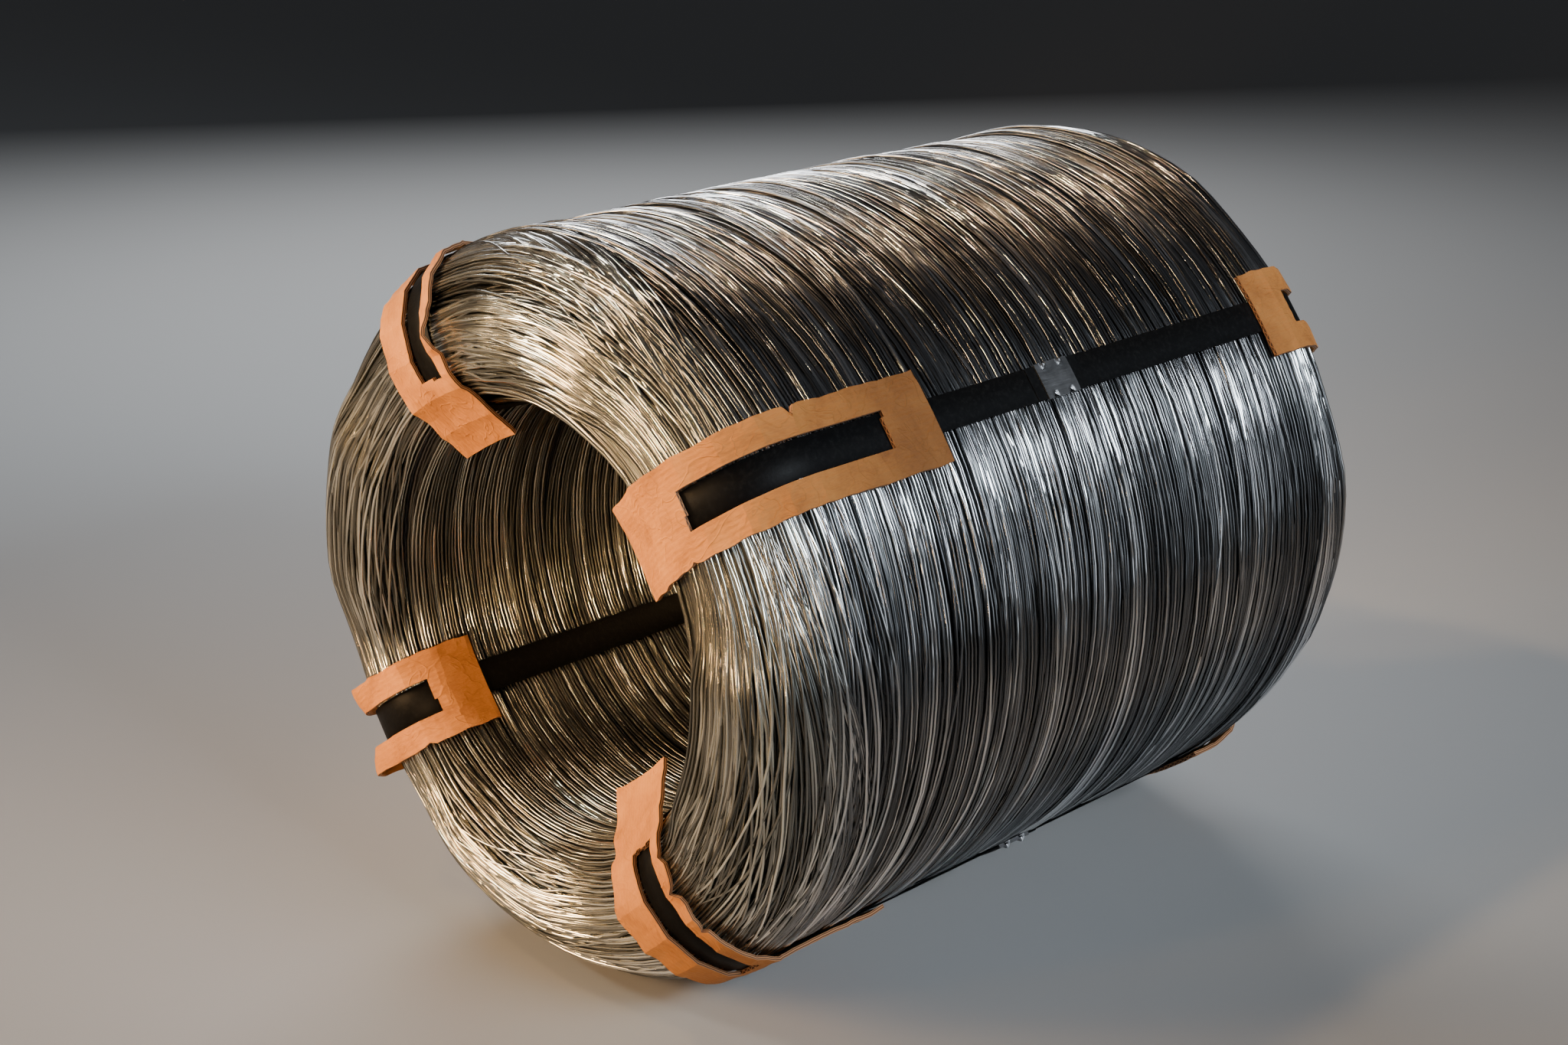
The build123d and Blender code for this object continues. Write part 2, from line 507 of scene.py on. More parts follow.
def make_winding_tree():
    """Closed rings of wire laid in ribbons along the outline."""
    tree, given, output = new_tree("winding", winding_sockets)

    def m(operation, *values):
        return maths(tree, operation, *values)

    def wave(angle, phase):
        return m("COSINE", m("SUBTRACT", angle, phase))

    def random_for(number, low, high, seed):
        return random_of(tree, low, high, number, m("ADD", given["Seed"], seed))

    def stored(geometry, name, value):
        inputs = {"Geometry": geometry, "Name": name, "Value": value}
        return node_of(tree, "GeometryNodeStoreNamedAttribute", inputs, domain="POINT").outputs[0]

    # One ring of points for every turn
    turns = m("MULTIPLY", given["Ribbons"], given["Turns per Ribbon"])
    ring = node_of(
        tree, "GeometryNodeCurvePrimitiveCircle",
        {"Resolution": given["Points per Turn"], "Radius": 1.0}, mode="RADIUS",
    ).outputs["Curve"]
    spots = node_of(tree, "GeometryNodePoints", {"Count": turns}).outputs[0]
    rings = node_of(tree, "GeometryNodeInstanceOnPoints", {"Points": spots, "Instance": ring})
    rings = node_of(tree, "GeometryNodeRealizeInstances", {"Geometry": rings.outputs[0]}).outputs[0]

    # Which turn and which ribbon a point is in, and at what angle it lies
    index = tree.nodes.new("GeometryNodeInputIndex").outputs[0]
    turn = m("FLOOR", m("DIVIDE", m("ADD", index, 0.5), given["Points per Turn"]))
    step = m("SUBTRACT", index, m("MULTIPLY", turn, given["Points per Turn"]))
    angle = m("MULTIPLY", m("DIVIDE", step, given["Points per Turn"]), math.tau)
    twice = m("MULTIPLY", angle, 2.0)
    cosine, sine = m("COSINE", angle), m("SINE", angle)
    ribbon = m("FLOOR", m("DIVIDE", m("ADD", turn, 0.5), given["Turns per Ribbon"]))
    in_ribbon = m("SUBTRACT", turn, m("MULTIPLY", ribbon, given["Turns per Ribbon"]))
    half_width = m("MULTIPLY", m("SUBTRACT", given["Turns per Ribbon"], 1.0), 0.5)
    from_middle = m("SUBTRACT", in_ribbon, half_width)
    phases = [random_for(ribbon, 0.0, math.tau, number) for number in (0, 1, 2, 3)]
    either_way = [random_for(ribbon, -1.0, 1.0, number) for number in (5, 6, 8)]

    # How free of the straps a point is
    nearness = wave(angle, given["Strap 1"])
    for number in strap_numbers[1:]:
        nearness = m("MAXIMUM", nearness, wave(angle, given[f"Strap {number}"]))
    free = m("SUBTRACT", 1.0, smooth_step(tree, nearness, free_from_strap, pressed_by_strap))

    # Where along the outline the ribbon and the turn lie
    share = m("DIVIDE", m("ADD", ribbon, 0.5), given["Ribbons"])
    span = m("SUBTRACT", given["Last Place"], given["First Place"])
    place = m("MULTIPLY_ADD", share, span, given["First Place"])
    place = m("MULTIPLY_ADD", either_way[2], given["Scatter"], place)
    sway = m("MULTIPLY", wave(angle, phases[0]), either_way[0])
    sway = m("ADD", sway, m("MULTIPLY", wave(twice, phases[1]), m("MULTIPLY", either_way[1], 0.6)))
    place = m("MULTIPLY_ADD", sway, given["Sway"], place)
    opened = m("MULTIPLY_ADD", wave(twice, phases[2]), 0.5, 0.5)
    opened = m("MULTIPLY", m("MULTIPLY_ADD", free, 0.6, m("MULTIPLY", opened, 0.4)), given["Fan"])
    opened = m("MULTIPLY", opened, random_for(ribbon, 0.3, 1.0, 9))
    spacing = m("MULTIPLY", m("ADD", opened, 1.0), given["Pitch"])
    place = m("MULTIPLY_ADD", spacing, from_middle, place)

    seat = vector_of(
        tree, m("MULTIPLY", cosine, 2.6), m("MULTIPLY", sine, 2.6),
        m("MULTIPLY_ADD", turn, 0.9, m("MULTIPLY", given["Seed"], 3.1)),
    )
    wobble = node_of(tree, "ShaderNodeTexNoise", {"Vector": seat, "Scale": 1.0, "Detail": 1.0})
    place = m("MULTIPLY_ADD", m("SUBTRACT", wobble.outputs["Fac"], 0.5), given["Wander"], place)

    close = m("MULTIPLY_ADD", wave(angle, given["Gather Azimuth"]), 0.5, 0.5)
    close = m("MULTIPLY", m("POWER", close, 4.0), given["Gather"])
    place = m("MULTIPLY_ADD", close, m("SUBTRACT", given["Gather Place"], place), place)

    # The point, the direction of the outline and the direction outwards at that place
    place = m("FLOORED_MODULO", place, given["Outline Length"])
    line = node_of(tree, "GeometryNodeObjectInfo", {"Object": given["Outline"]}).outputs["Geometry"]
    sample = node_of(tree, "GeometryNodeSampleCurve", {"Curves": line, "Length": place}, mode="LENGTH")
    spot = parts_of(tree, sample.outputs["Position"])
    ahead = parts_of(tree, sample.outputs["Tangent"])
    out_x = ahead["Y"]
    out_y = m("MULTIPLY", ahead["X"], -1.0)

    # How deep the turn lies, how far it rises, and the valley
    layer = m("FLOOR", random_for(ribbon, 0.0, given["Layers"], 10))
    dip = m("MULTIPLY_ADD", wave(angle, phases[3]), 0.5, 0.5)
    dip = m("ADD", random_for(turn, 0.0, 1.3, 11), m("MULTIPLY", dip, 0.9))
    under = m("MULTIPLY", m("ADD", m("MULTIPLY", layer, 2.0), dip), given["Wire Radius"])
    height = m("MULTIPLY", m("ADD", under, given["Depth"]), -1.0)
    rise = m("MULTIPLY_ADD", m("ABSOLUTE", out_y), given["Bulge"], given["Rise"])
    resting = smooth_step(tree, wave(angle, -quarter), above_floor, on_floor)
    resting = m("MULTIPLY", resting, m("ABSOLUTE", out_x))
    rise = m("MULTIPLY", rise, m("SUBTRACT", 1.0, resting))
    height = m("MULTIPLY_ADD", rise, free, height)
    aside = m("DIVIDE", m("SUBTRACT", place, given["Hollow Place"]), valley_reach)
    sunk = m("EXPONENT", m("MULTIPLY", m("MULTIPLY", aside, aside), -1.0))
    facing = m("MULTIPLY_ADD", wave(angle, given["Hollow Azimuth"]), 0.5, 0.5)
    sunk = m("MULTIPLY", m("MULTIPLY", sunk, m("POWER", facing, valley_power)), given["Hollow"])
    height = m("SUBTRACT", height, sunk)

    radius = m("MULTIPLY_ADD", out_x, height, spot["X"])
    along = m("MULTIPLY_ADD", out_y, height, spot["Y"])
    position = vector_of(
        tree, m("MULTIPLY", radius, cosine), along,
        m("MULTIPLY_ADD", radius, sine, given["Axis Height"]),
    )
    laid = node_of(tree, "GeometryNodeSetPosition", {"Geometry": rings, "Position": position}).outputs[0]

    # What the finish reads, and the wire round the line of each turn
    tint = m("MULTIPLY", random_for(ribbon, 0.0, 1.0, 13), 0.3)
    tint = m("MULTIPLY_ADD", random_for(turn, 0.0, 1.0, 12), 0.7, tint)
    # Each group's painted light scales the tint: below 1 its turns get a painted shade, above 1 a painted
    # highlight.
    tint = m("MULTIPLY", tint, given["Brightness"])
    flow = m("MULTIPLY_ADD", ribbon, 3.7, m("MULTIPLY", turn, 0.02))
    laid = stored(stored(laid, "tint", tint), "flow", flow)
    section = node_of(
        tree, "GeometryNodeCurvePrimitiveCircle",
        {"Resolution": given["Sides"], "Radius": given["Wire Radius"]}, mode="RADIUS",
    ).outputs["Curve"]
    wires = node_of(tree, "GeometryNodeCurveToMesh", {"Curve": laid, "Profile Curve": section}).outputs[0]
    inputs = {"Geometry": wires, "Shade Smooth": True}
    wires = node_of(tree, "GeometryNodeSetShadeSmooth", inputs).outputs[0]
    wires = node_of(tree, "GeometryNodeRealizeInstances", {"Geometry": wires}).outputs[0]
    inputs = {"Geometry": wires, "Material": given["Material"]}
    wires = node_of(tree, "GeometryNodeSetMaterial", inputs).outputs[0]
    tree.links.new(wires, output.inputs["Geometry"])
    return tree


winding_tree = make_winding_tree()
print("winding tree", len(winding_tree.nodes), "nodes")

# %% [markdown]
# A modifier takes its inputs by the sockets' identifiers, set before the first evaluation. The
# result is copied into a plain mesh and the modifier goes, so what is kept is only wire.

# %% Winding one group of turns
wire_radius = 0.0014
shared_inputs = {
    "Outline": outline_curve,
    "Axis Height": axis_height,
    "Outline Length": outline_length,
    "Wire Radius": wire_radius,
    "Depth": wire_radius,
    "Fan": 0.0,
    "Brightness": 1.0,
    "Layers": 1.0,
    "Material": wire_finish,
    **{f"Strap {number}": strap_azimuths[number - 1] for number in strap_numbers},
}


def wind(name, **inputs):
    """Runs the winding tree once and keeps its result as a piece of plain mesh."""
    holder = add_object(name + "_holder", bpy.data.meshes.new(name + "_holder"))
    modifier = holder.modifiers.new("winding", "NODES")
    modifier.node_group = winding_tree
    values = {**shared_inputs, **{key.replace("_", " "): value for key, value in inputs.items()}}
    for item in winding_tree.interface.items_tree:
        if item.in_out == "INPUT" and item.name in values:
            modifier[item.identifier] = values[item.name]
    bpy.context.view_layer.update()
    evaluated = holder.evaluated_get(bpy.context.evaluated_depsgraph_get())
    mesh = bpy.data.meshes.new_from_object(evaluated)
    mesh.name = name
    bpy.data.objects.remove(holder)
    piece = new_piece(name, mesh, wire_finish, "galvanized_wire", "wire_coil")
    print(name, 2 * len(mesh.polygons), "triangles")
    return piece


# %% [markdown]
# Every group below is one call of that function, with its own numbers. The first layer covers the
# outside and both ends, turn beside turn, two wires below the skin. Its colour is painted dark, a
# painted shade, because it only shows in the gaps of the layers above it.

# %% The outer turns
close_pitch = 0.0029
open_pitch = 0.0039
spread_pitch = 0.0045
end_inset = 0.035
valley = {"Hollow_Place": valley_place, "Hollow_Azimuth": valley_azimuth}
wind(
    "turns_outer_base", Ribbons=35, Turns_per_Ribbon=10, Points_per_Turn=60, Sides=4,
    First_Place=near_mouth + end_inset, Last_Place=far_mouth_end - end_inset, Pitch=close_pitch,
    Scatter=0.003, Sway=0.004, Wander=0.004, Brightness=0.5,
    Depth=3.2 * wire_radius, Bulge=0.002, Seed=11, Hollow=valley_depth, **valley,
)

# %% [markdown]
# The loose turns give the coil its look: they cross at small angles and lie one or two deep.

# %% The loose turns on the outside
wind(
    "turns_outer_loose", Ribbons=34, Turns_per_Ribbon=8, Points_per_Turn=72, Sides=5,
    First_Place=near_shoulder + 0.06, Last_Place=far_shoulder_end - 0.035, Pitch=open_pitch,
    Scatter=0.013, Sway=0.011, Fan=0.3, Wander=0.006,
    Layers=2.0, Rise=0.0007, Bulge=0.006, Seed=23,
)

# %% The turns along the eye
wind(
    "turns_bore", Ribbons=34, Turns_per_Ribbon=8, Points_per_Turn=54, Sides=4,
    First_Place=-0.40, Last_Place=0.40, Pitch=0.0035,
    Scatter=0.005, Sway=0.006, Fan=0.2, Wander=0.005,
    Layers=2.0, Rise=0.0007, Bulge=0.003, Seed=37,
)

# %% [markdown]
# On the near end the loops part into an outer and an inner bundle, with turns painted darker, a
# painted shade, that cross in the valley between them, and a few wide strands on top. The inner
# bundle and the strands are painted a little lighter, a painted highlight. All of them gather beside
# strap 2.

# %% The loops over the near end
near_gather_place = 0.476
near_strands = {
    "Gather_Place": near_gather_place, "Gather_Azimuth": math.radians(42),
    "Points_per_Turn": 100, "Sides": 5, **valley,
}
wind(
    "turns_near_outer", Ribbons=13, Turns_per_Ribbon=7,
    First_Place=0.545, Last_Place=0.615, Pitch=open_pitch,
    Scatter=0.012, Sway=0.018, Fan=1.4, Wander=0.008,
    Layers=2.5, Rise=0.001, Bulge=0.010, Gather=0.75, Seed=41, Hollow=0.004, **near_strands,
)
wind(
    "turns_near_inner", Ribbons=10, Turns_per_Ribbon=8,
    First_Place=0.405, Last_Place=0.468, Pitch=0.0036,
    Scatter=0.008, Sway=0.014, Fan=1.2, Wander=0.008, Brightness=1.1,
    Layers=2.5, Rise=0.001, Bulge=0.011, Gather=0.5, Seed=67, Hollow=0.004, **near_strands,
)
wind(
    "turns_near_crossing", Ribbons=8, Turns_per_Ribbon=6,
    First_Place=0.455, Last_Place=0.56, Pitch=open_pitch,
    Scatter=0.02, Sway=0.035, Fan=1.4, Wander=0.01, Brightness=0.55,
    Depth=2 * wire_radius, Layers=1.5, Bulge=0.004, Gather=0.45, Seed=83, Hollow=valley_depth,
    **near_strands,
)
wind(
    "turns_near_strands", Ribbons=14, Turns_per_Ribbon=3,
    First_Place=0.43, Last_Place=0.60, Pitch=spread_pitch,
    Scatter=0.03, Sway=0.05, Fan=2.2, Wander=0.012, Brightness=1.1,
    Rise=0.003, Bulge=0.010, Gather=0.4, Seed=97, Hollow=0.008, **near_strands,
)

# %% Stray turns on the outside
# The stray turns are painted lighter than the rest, a painted highlight.
wind(
    "turns_stray", Ribbons=14, Turns_per_Ribbon=1, Points_per_Turn=110, Sides=6,
    First_Place=near_shoulder + 0.1, Last_Place=far_shoulder_end - 0.06, Pitch=open_pitch,
    Scatter=0.03, Sway=0.03, Wander=0.02, Brightness=1.2,
    Rise=0.003, Bulge=0.004, Seed=131,
)

# %% [markdown]
# The far end is guessed from the near one. The photograph doesn't show it.

# %% The loops over the far end
far_strands = {
    "Gather_Place": outline_length - near_gather_place, "Gather_Azimuth": strap_azimuths[3],
    "Points_per_Turn": 80, "Sides": 4,
}
wind(
    "turns_far_end", Ribbons=20, Turns_per_Ribbon=7,
    First_Place=far_shoulder_end - 0.13, Last_Place=far_mouth_end - 0.055, Pitch=open_pitch,
    Scatter=0.016, Sway=0.024, Fan=0.9, Wander=0.008,
    Layers=2.5, Rise=0.001, Bulge=0.008, Gather=0.5, Seed=59, **far_strands,
)
# The far strands are painted a little lighter, a painted highlight.
wind(
    "turns_far_strands", Ribbons=10, Turns_per_Ribbon=3,
    First_Place=far_shoulder_end - 0.1, Last_Place=far_mouth_end - 0.06, Pitch=spread_pitch,
    Scatter=0.03, Sway=0.04, Fan=2.2, Wander=0.012, Brightness=1.1,
    Rise=0.002, Bulge=0.010, Gather=0.4, Seed=149, **far_strands,
)
bpy.data.objects.remove(outline_curve)

# %% [markdown]
# A strap is a thin steel band with slightly rounded edges, painted black. It follows the outline
# once round the wall. Its section is a ring of eight points, repeated at every place it passes.
# Near the seal its two ends lap, so a second short band lies on the first.

# %% The straps' finish
def make_strap_finish():
    """Black paint with a satin shine, rubbed a little here and there."""
    material, tree, shader = new_finish("black_strap")
    place = object_place(tree)
    rub = noise_of(tree, place, 220.0, 4.0, 0.7)
    colour = ramp_of(tree, rub, (0.5, (0.0035, 0.0035, 0.0037)), (0.75, (0.008, 0.008, 0.008)))
    gloss = map_range(tree, rub, 0.3, 0.7, 0.42, 0.55)
    relief = bump_of(tree, noise_of(tree, place, 400.0), 0.15, 0.001)
    fill(tree, shader, {
        "Base Color": colour, "Roughness": gloss, "Specular IOR Level": 0.06, "Normal": relief,
    })
    return material


strap_finish = make_strap_finish()

# %% Straps
near_skews = (math.radians(-10.5), 0.0, 0.0, math.radians(9.5))
skew_place = 0.39
skew_reach = 0.22
strap_low = strap_gap
strap_high = strap_gap + strap_thickness
lap_high = strap_high + strap_thickness
strap_edge = 0.00025
lap_length = 0.066
lap_steps = 12


def skew_at(number, place):
    """How far a strap has slipped round the coil at a place: most at the crest of the near end."""
    away = (place - skew_place) / skew_reach
    return near_skews[number - 1] * max(0.0, 1 - away * away)


def band_rows(number, places, low, high):
    """Rings of eight points round a strap's section, one ring at each place."""
    half = strap_width / 2
    inside = half - strap_edge
    section = [(-half, low + strap_edge), (-inside, low), (inside, low), (half, low + strap_edge)]
    section += [(half, high - strap_edge), (inside, high), (-inside, high), (-half, high - strap_edge)]
    azimuths = [strap_azimuths[number - 1] + skew_at(number, place) for place in places]
    return [[on_coil(a, p, height, across) for across, height in section] for a, p in zip(azimuths, places)]


def tube_of(name, rows):
    """A mesh from rings of points, with both ends of the tube closed."""
    width = len(rows[0])

    def close_ends(work):
        work.verts.ensure_lookup_table()
        for start in (0, (len(rows) - 1) * width):
            work.faces.new([work.verts[start + i] for i in range(width)])

    mesh = grid_mesh(name, rows, False, True)
    face_outwards(mesh, close_ends)
    return mesh


def seal_middle(number):
    """The place on the outline at the middle of a seal."""
    return outside_start + outer_run / 2 + middle_of(f"seal_{number}").y


def make_strap(number, steps=240):
    """One strap round the wall, with its lap."""
    places = [outline_length * i / steps for i in range(steps)]
    mesh = grid_mesh(f"steel_strap_{number}", band_rows(number, places, strap_low, strap_high), True, True)
    face_outwards(mesh)
    shade_smooth(mesh)
    new_piece(mesh.name, mesh, strap_finish, "black_strap", f"strap_{number}")
    places = [seal_middle(number) + lap_length * (i / lap_steps - 0.5) for i in range(lap_steps + 1)]
    mesh = tube_of(f"strap_lap_{number}", band_rows(number, places, strap_high, lap_high))
    new_piece(mesh.name, mesh, strap_finish, "black_strap", f"strap_{number}")


for number in strap_numbers:
    make_strap(number)
print("straps", len(strap_numbers))

# %% [markdown]
# A seal is a steel sleeve squeezed on the lap. The tool leaves two cups on one long edge and two
# pressed notches on the other. Both come from the same bell-shaped dent, pushed out or in.

# %% Seals
seal_length = 0.042
seal_wall = 0.0009
seal_play = 0.00015
seal_side_play = 0.0002
seal_taper = 0.985
notch_place = 0.0105
notch_reach = 0.0042
edge_reach = 0.0075
notch_share_below = 0.3
cup_edge = {"rise": 0.0030, "narrow": 0.0018}
notch_edge = {"rise": -0.0013, "narrow": 0.0034}


def make_seal_finish():
    """Dull grey steel with rolling marks along it and a few darker stains."""
    material, tree, shader = new_finish("seal_steel")
    place = object_place(tree)
    dirt = noise_of(tree, place, 60.0, 4.0, 0.6)
    scratch = noise_of(tree, object_place(tree, (900, 60, 900)), 1.0, 3.0, 0.7)
    colour = ramp_of(tree, dirt, (0.35, (0.12, 0.12, 0.123)), (0.7, (0.2, 0.2, 0.205)))
    gloss = map_range(tree, scratch, 0.3, 0.7, 0.3, 0.42)
    relief = bump_of(tree, scratch, 0.15, 0.0003)
    fill(tree, shader, {"Base Color": colour, "Metallic": 0.9, "Roughness": gloss, "Normal": relief})
    return material


def dent(distance, reach):
    """A bell shape: 1 in the middle, 0 beyond its reach."""
    share = min(1.0, abs(distance) / reach)
    return (1 - share * share) ** 2


def seal_ring(half_width, low, high, per_side=17):
    """The ring of points round a seal's section, as pairs of across and height."""
    across = [half_width * (2 * i / (per_side - 1) - 1) for i in range(per_side)]
    middle = (high + low) / 2
    ring = [(a * seal_taper, high) for a in across] + [(half_width, middle)]
    return ring + [(a * seal_taper, low) for a in reversed(across)] + [(-half_width, middle)]


def make_seal(number, finish, rows_along=43):
    """A crimped sleeve round the lap."""
    half_width = strap_width / 2 + seal_side_play + seal_wall
    low = strap_low - seal_play - seal_wall
    high = lap_high + seal_play + seal_wall
    ring = seal_ring(half_width, low, high)
    rows = []
    for i in range(rows_along):
        along = seal_length * (i / (rows_along - 1) - 0.5)
        place = seal_middle(number) + along
        press = dent(abs(along) - notch_place, notch_reach)
        row = []
        for a, height in ring:
            edge = cup_edge if a > 0 else notch_edge
            pressed = press * dent(half_width - abs(a), edge_reach)
            rise = edge["rise"] * pressed * (1.0 if height > low else notch_share_below)
            moved = a - math.copysign(edge["narrow"] * pressed, a)
            row.append(on_coil(strap_azimuths[number - 1], place, height + rise, moved))
        rows.append(row)
    mesh = tube_of(f"crimped_seal_{number}", rows)
    new_piece(mesh.name, mesh, finish, "seal_steel", f"seal_{number}")


seal_finish = make_seal_finish()
for number in strap_numbers:
    make_seal(number, seal_finish)
print("seals", len(strap_numbers))

# %% [markdown]
# The edge protectors are strips of corrugated cardboard with a window. Each is a grid of points
# along the strip and across it. A grid is easy to bend over the outline, to fold, and to tear.

# %% The cardboard's finishes
flute_pitch = 0.005
cut_wave_length = 0.0075
# Along a strip the brown goes from a painted light on the inner end to a painted shade on the tail.
painted_light_place, painted_shade_place = 0.45, 0.68
painted_light_gain, painted_shade_gain = 1.22, 0.4


def make_cardboard_finish():
    """Brown paper over flutes that run along the strip, with fibres, stains and creases.

    The tail of a strip, on the outside of the coil, has painted shade; its inner end painted light.
    """
    material, tree, shader = new_finish("cardboard")
    flat = node_of(tree, "ShaderNodeTexCoord").outputs["UV"]
    parts = parts_of(tree, flat)
    fibre_place = node_of(tree, "ShaderNodeMapping", {"Vector": flat, "Scale": (160, 900, 1)}).outputs[0]
    fibre = noise_of(tree, fibre_place, 1.0, 3.0, 0.7)
    stain = noise_of(tree, flat, 26.0, 4.0, 0.6, 0.6)
    shade = maths(tree, "MULTIPLY_ADD", fibre, 0.35, maths(tree, "MULTIPLY", stain, 0.65))
    brown = ramp_of(
        tree, shade, (0.3, (0.3, 0.104, 0.023)), (0.5, (0.47, 0.177, 0.039)), (0.72, (0.57, 0.232, 0.057))
    )
    # Painted light on the inner end, painted shade on the tail.
    painted_light_and_shade = map_range(tree, parts["X"], painted_light_place, painted_shade_place, painted_light_gain, painted_shade_gain)
    inputs = {"Vector": brown, "Scale": painted_light_and_shade}
    colour = node_of(tree, "ShaderNodeVectorMath", inputs, operation="SCALE").outputs["Vector"]
    flute = maths(tree, "SINE", maths(tree, "MULTIPLY", parts["Y"], math.tau / flute_pitch))
    crumple = noise_of(tree, flat, 90.0, 3.0, 0.6, 1.2)
    bend = noise_of(tree, flat, 24.0, 2.0, 0.5, 1.6)
    crease = maths(tree, "ABSOLUTE", maths(tree, "SUBTRACT", bend, 0.5))
    crease = map_range(tree, crease, 0.0, 0.03, 1.0, 0.0)
    relief = maths(tree, "MULTIPLY_ADD", flute, 0.09, crumple)
    relief = maths(tree, "MULTIPLY_ADD", crease, 0.45, relief)
    fill(tree, shader, {
        "Base Color": colour, "Roughness": 0.78, "Specular IOR Level": 0.3,
        "Normal": bump_of(tree, relief, 0.6, 0.0017),
    })
    return material


def make_cut_edge_finish():
    """A cut through cardboard: two papers with a wavy one between them."""
    material, tree, shader = new_finish("cardboard_cut")
    parts = parts_of(tree, node_of(tree, "ShaderNodeTexCoord").outputs["UV"])
    swing = maths(tree, "SINE", maths(tree, "MULTIPLY", parts["X"], math.tau / cut_wave_length))
    from_middle = maths(tree, "SUBTRACT", parts["Y"], 0.5)
    from_wave = maths(tree, "SUBTRACT", from_middle, maths(tree, "MULTIPLY", swing, 0.3))
    from_skin = maths(tree, "SUBTRACT", 0.5, maths(tree, "ABSOLUTE", from_middle))
    nearest = maths(tree, "MINIMUM", maths(tree, "ABSOLUTE", from_wave), from_skin)
    # The hollows between the papers are painted nearly black, a painted shade.
    colour = ramp_of(tree, nearest, (0.08, (0.48, 0.23, 0.1)), (0.16, (0.07, 0.03, 0.015)))
    fill(tree, shader, {"Base Color": colour, "Roughness": 0.9})
    return material


cardboard_finish = make_cardboard_finish()
cut_edge_finish = make_cut_edge_finish()

# %% [markdown]
# A board follows the outline at a small height, and from one place on it leaves the coil as a
# straight flap. Folded cardboard doesn't bend smoothly: between two folds it stays flat, so the
# folds stand up a little. Margins crumple more than the middle, and corners curl.

# %% The shape of a board
board_half_width = 0.043
board_thickness = 0.0038
board_height = 0.0012
fold_pitch = math.radians(22.5) * shoulder_radius
fold_rise = 0.0016
window_half_width = 0.0172
flap_hug = 0.3


def fold_height(place):
    """How far the folds over the shoulder stand up at a place."""
    if not near_mouth < place < outside_start:
        return 0.0
    share = ((place - near_shoulder) / fold_pitch) % 1.0
    return fold_rise * 4 * (share - 0.5) ** 2


def crumple_at(board, place, across):
    """The height of small dents, bent margins, sharp ridges and curled corners."""
    edge = (abs(across) / board_half_width) ** 2
    rough = noise.noise(Vector((place * 38, across * 38, board["seed"])))
    fine = noise.noise(Vector((place * 120, across * 90, board["seed"] + 7)))
    height = abs(rough) * board["crumple"] * edge + 0.0007 * abs(fine)
    for centre, side, reach, lift in board.get("lifts", ()):
        apart = math.hypot(place - centre, across - side * board_half_width)
        height += lift * dent(apart, reach)
    for centre, side, reach, lift in board.get("ridges", ()):
        if across * side > 0:
            height += lift * edge * max(0.0, 1 - abs(place - centre) / reach)
    return height


def trimmed(board, place, across):
    """Moves points near the two long edges, so that the edges are uneven and have tears."""
    edge = (abs(across) / board_half_width) ** 4
    side = math.copysign(1, across)
    wander = 0.0016 * noise.noise(Vector((place * 70, side * 3, board["seed"] + 3)))
    for centre, nick_side, depth, width in board.get("nicks", ()):
        if nick_side == side:
            wander -= depth * max(0.0, 1 - abs(place - centre) / width)
    return across + side * edge * wander


def board_spot(board, place, across, height):
    """A point of a board in the scene."""
    base = max(place, board["leave"])
    radius, along, out = on_outline(base)
    beyond = base - place
    lift = height + board_height + fold_height(place) + crumple_at(board, place, across)
    radius += out[1] * beyond + out[0] * lift
    along += -out[0] * beyond + out[1] * lift
    across = trimmed(board, place, across) - board.get("shift", 0.0) + beyond * board.get("swing", 0.0)
    hug = abs(on_outline(place)[2][0]) if beyond == 0 else flap_hug
    radius -= hug * across * across / (2 * radius)
    azimuth = board["azimuth"]
    if board["side"] < 0:
        azimuth += skew_at(board["number"], place)
    return point_at(azimuth, radius, -board["side"] * along, across)


def lines_between(low, high, spacing, extra):
    """Sorted values from low to high, with some extra ones that must be among them."""
    count = max(1, round((high - low) / spacing))
    values = sorted([low + (high - low) * i / count for i in range(count + 1)] + list(extra))
    kept = []
    for value in values:
        if kept and value - kept[-1] < spacing * 0.3:
            if value in extra:
                kept[-1] = value
            continue
        kept.append(value)
    return kept


def drop_loose_points(work):
    """Deletes the points that no face uses."""
    loose = [vert for vert in work.verts if not vert.link_faces]
    bmesh.ops.delete(work, geom=loose, context="VERTS")


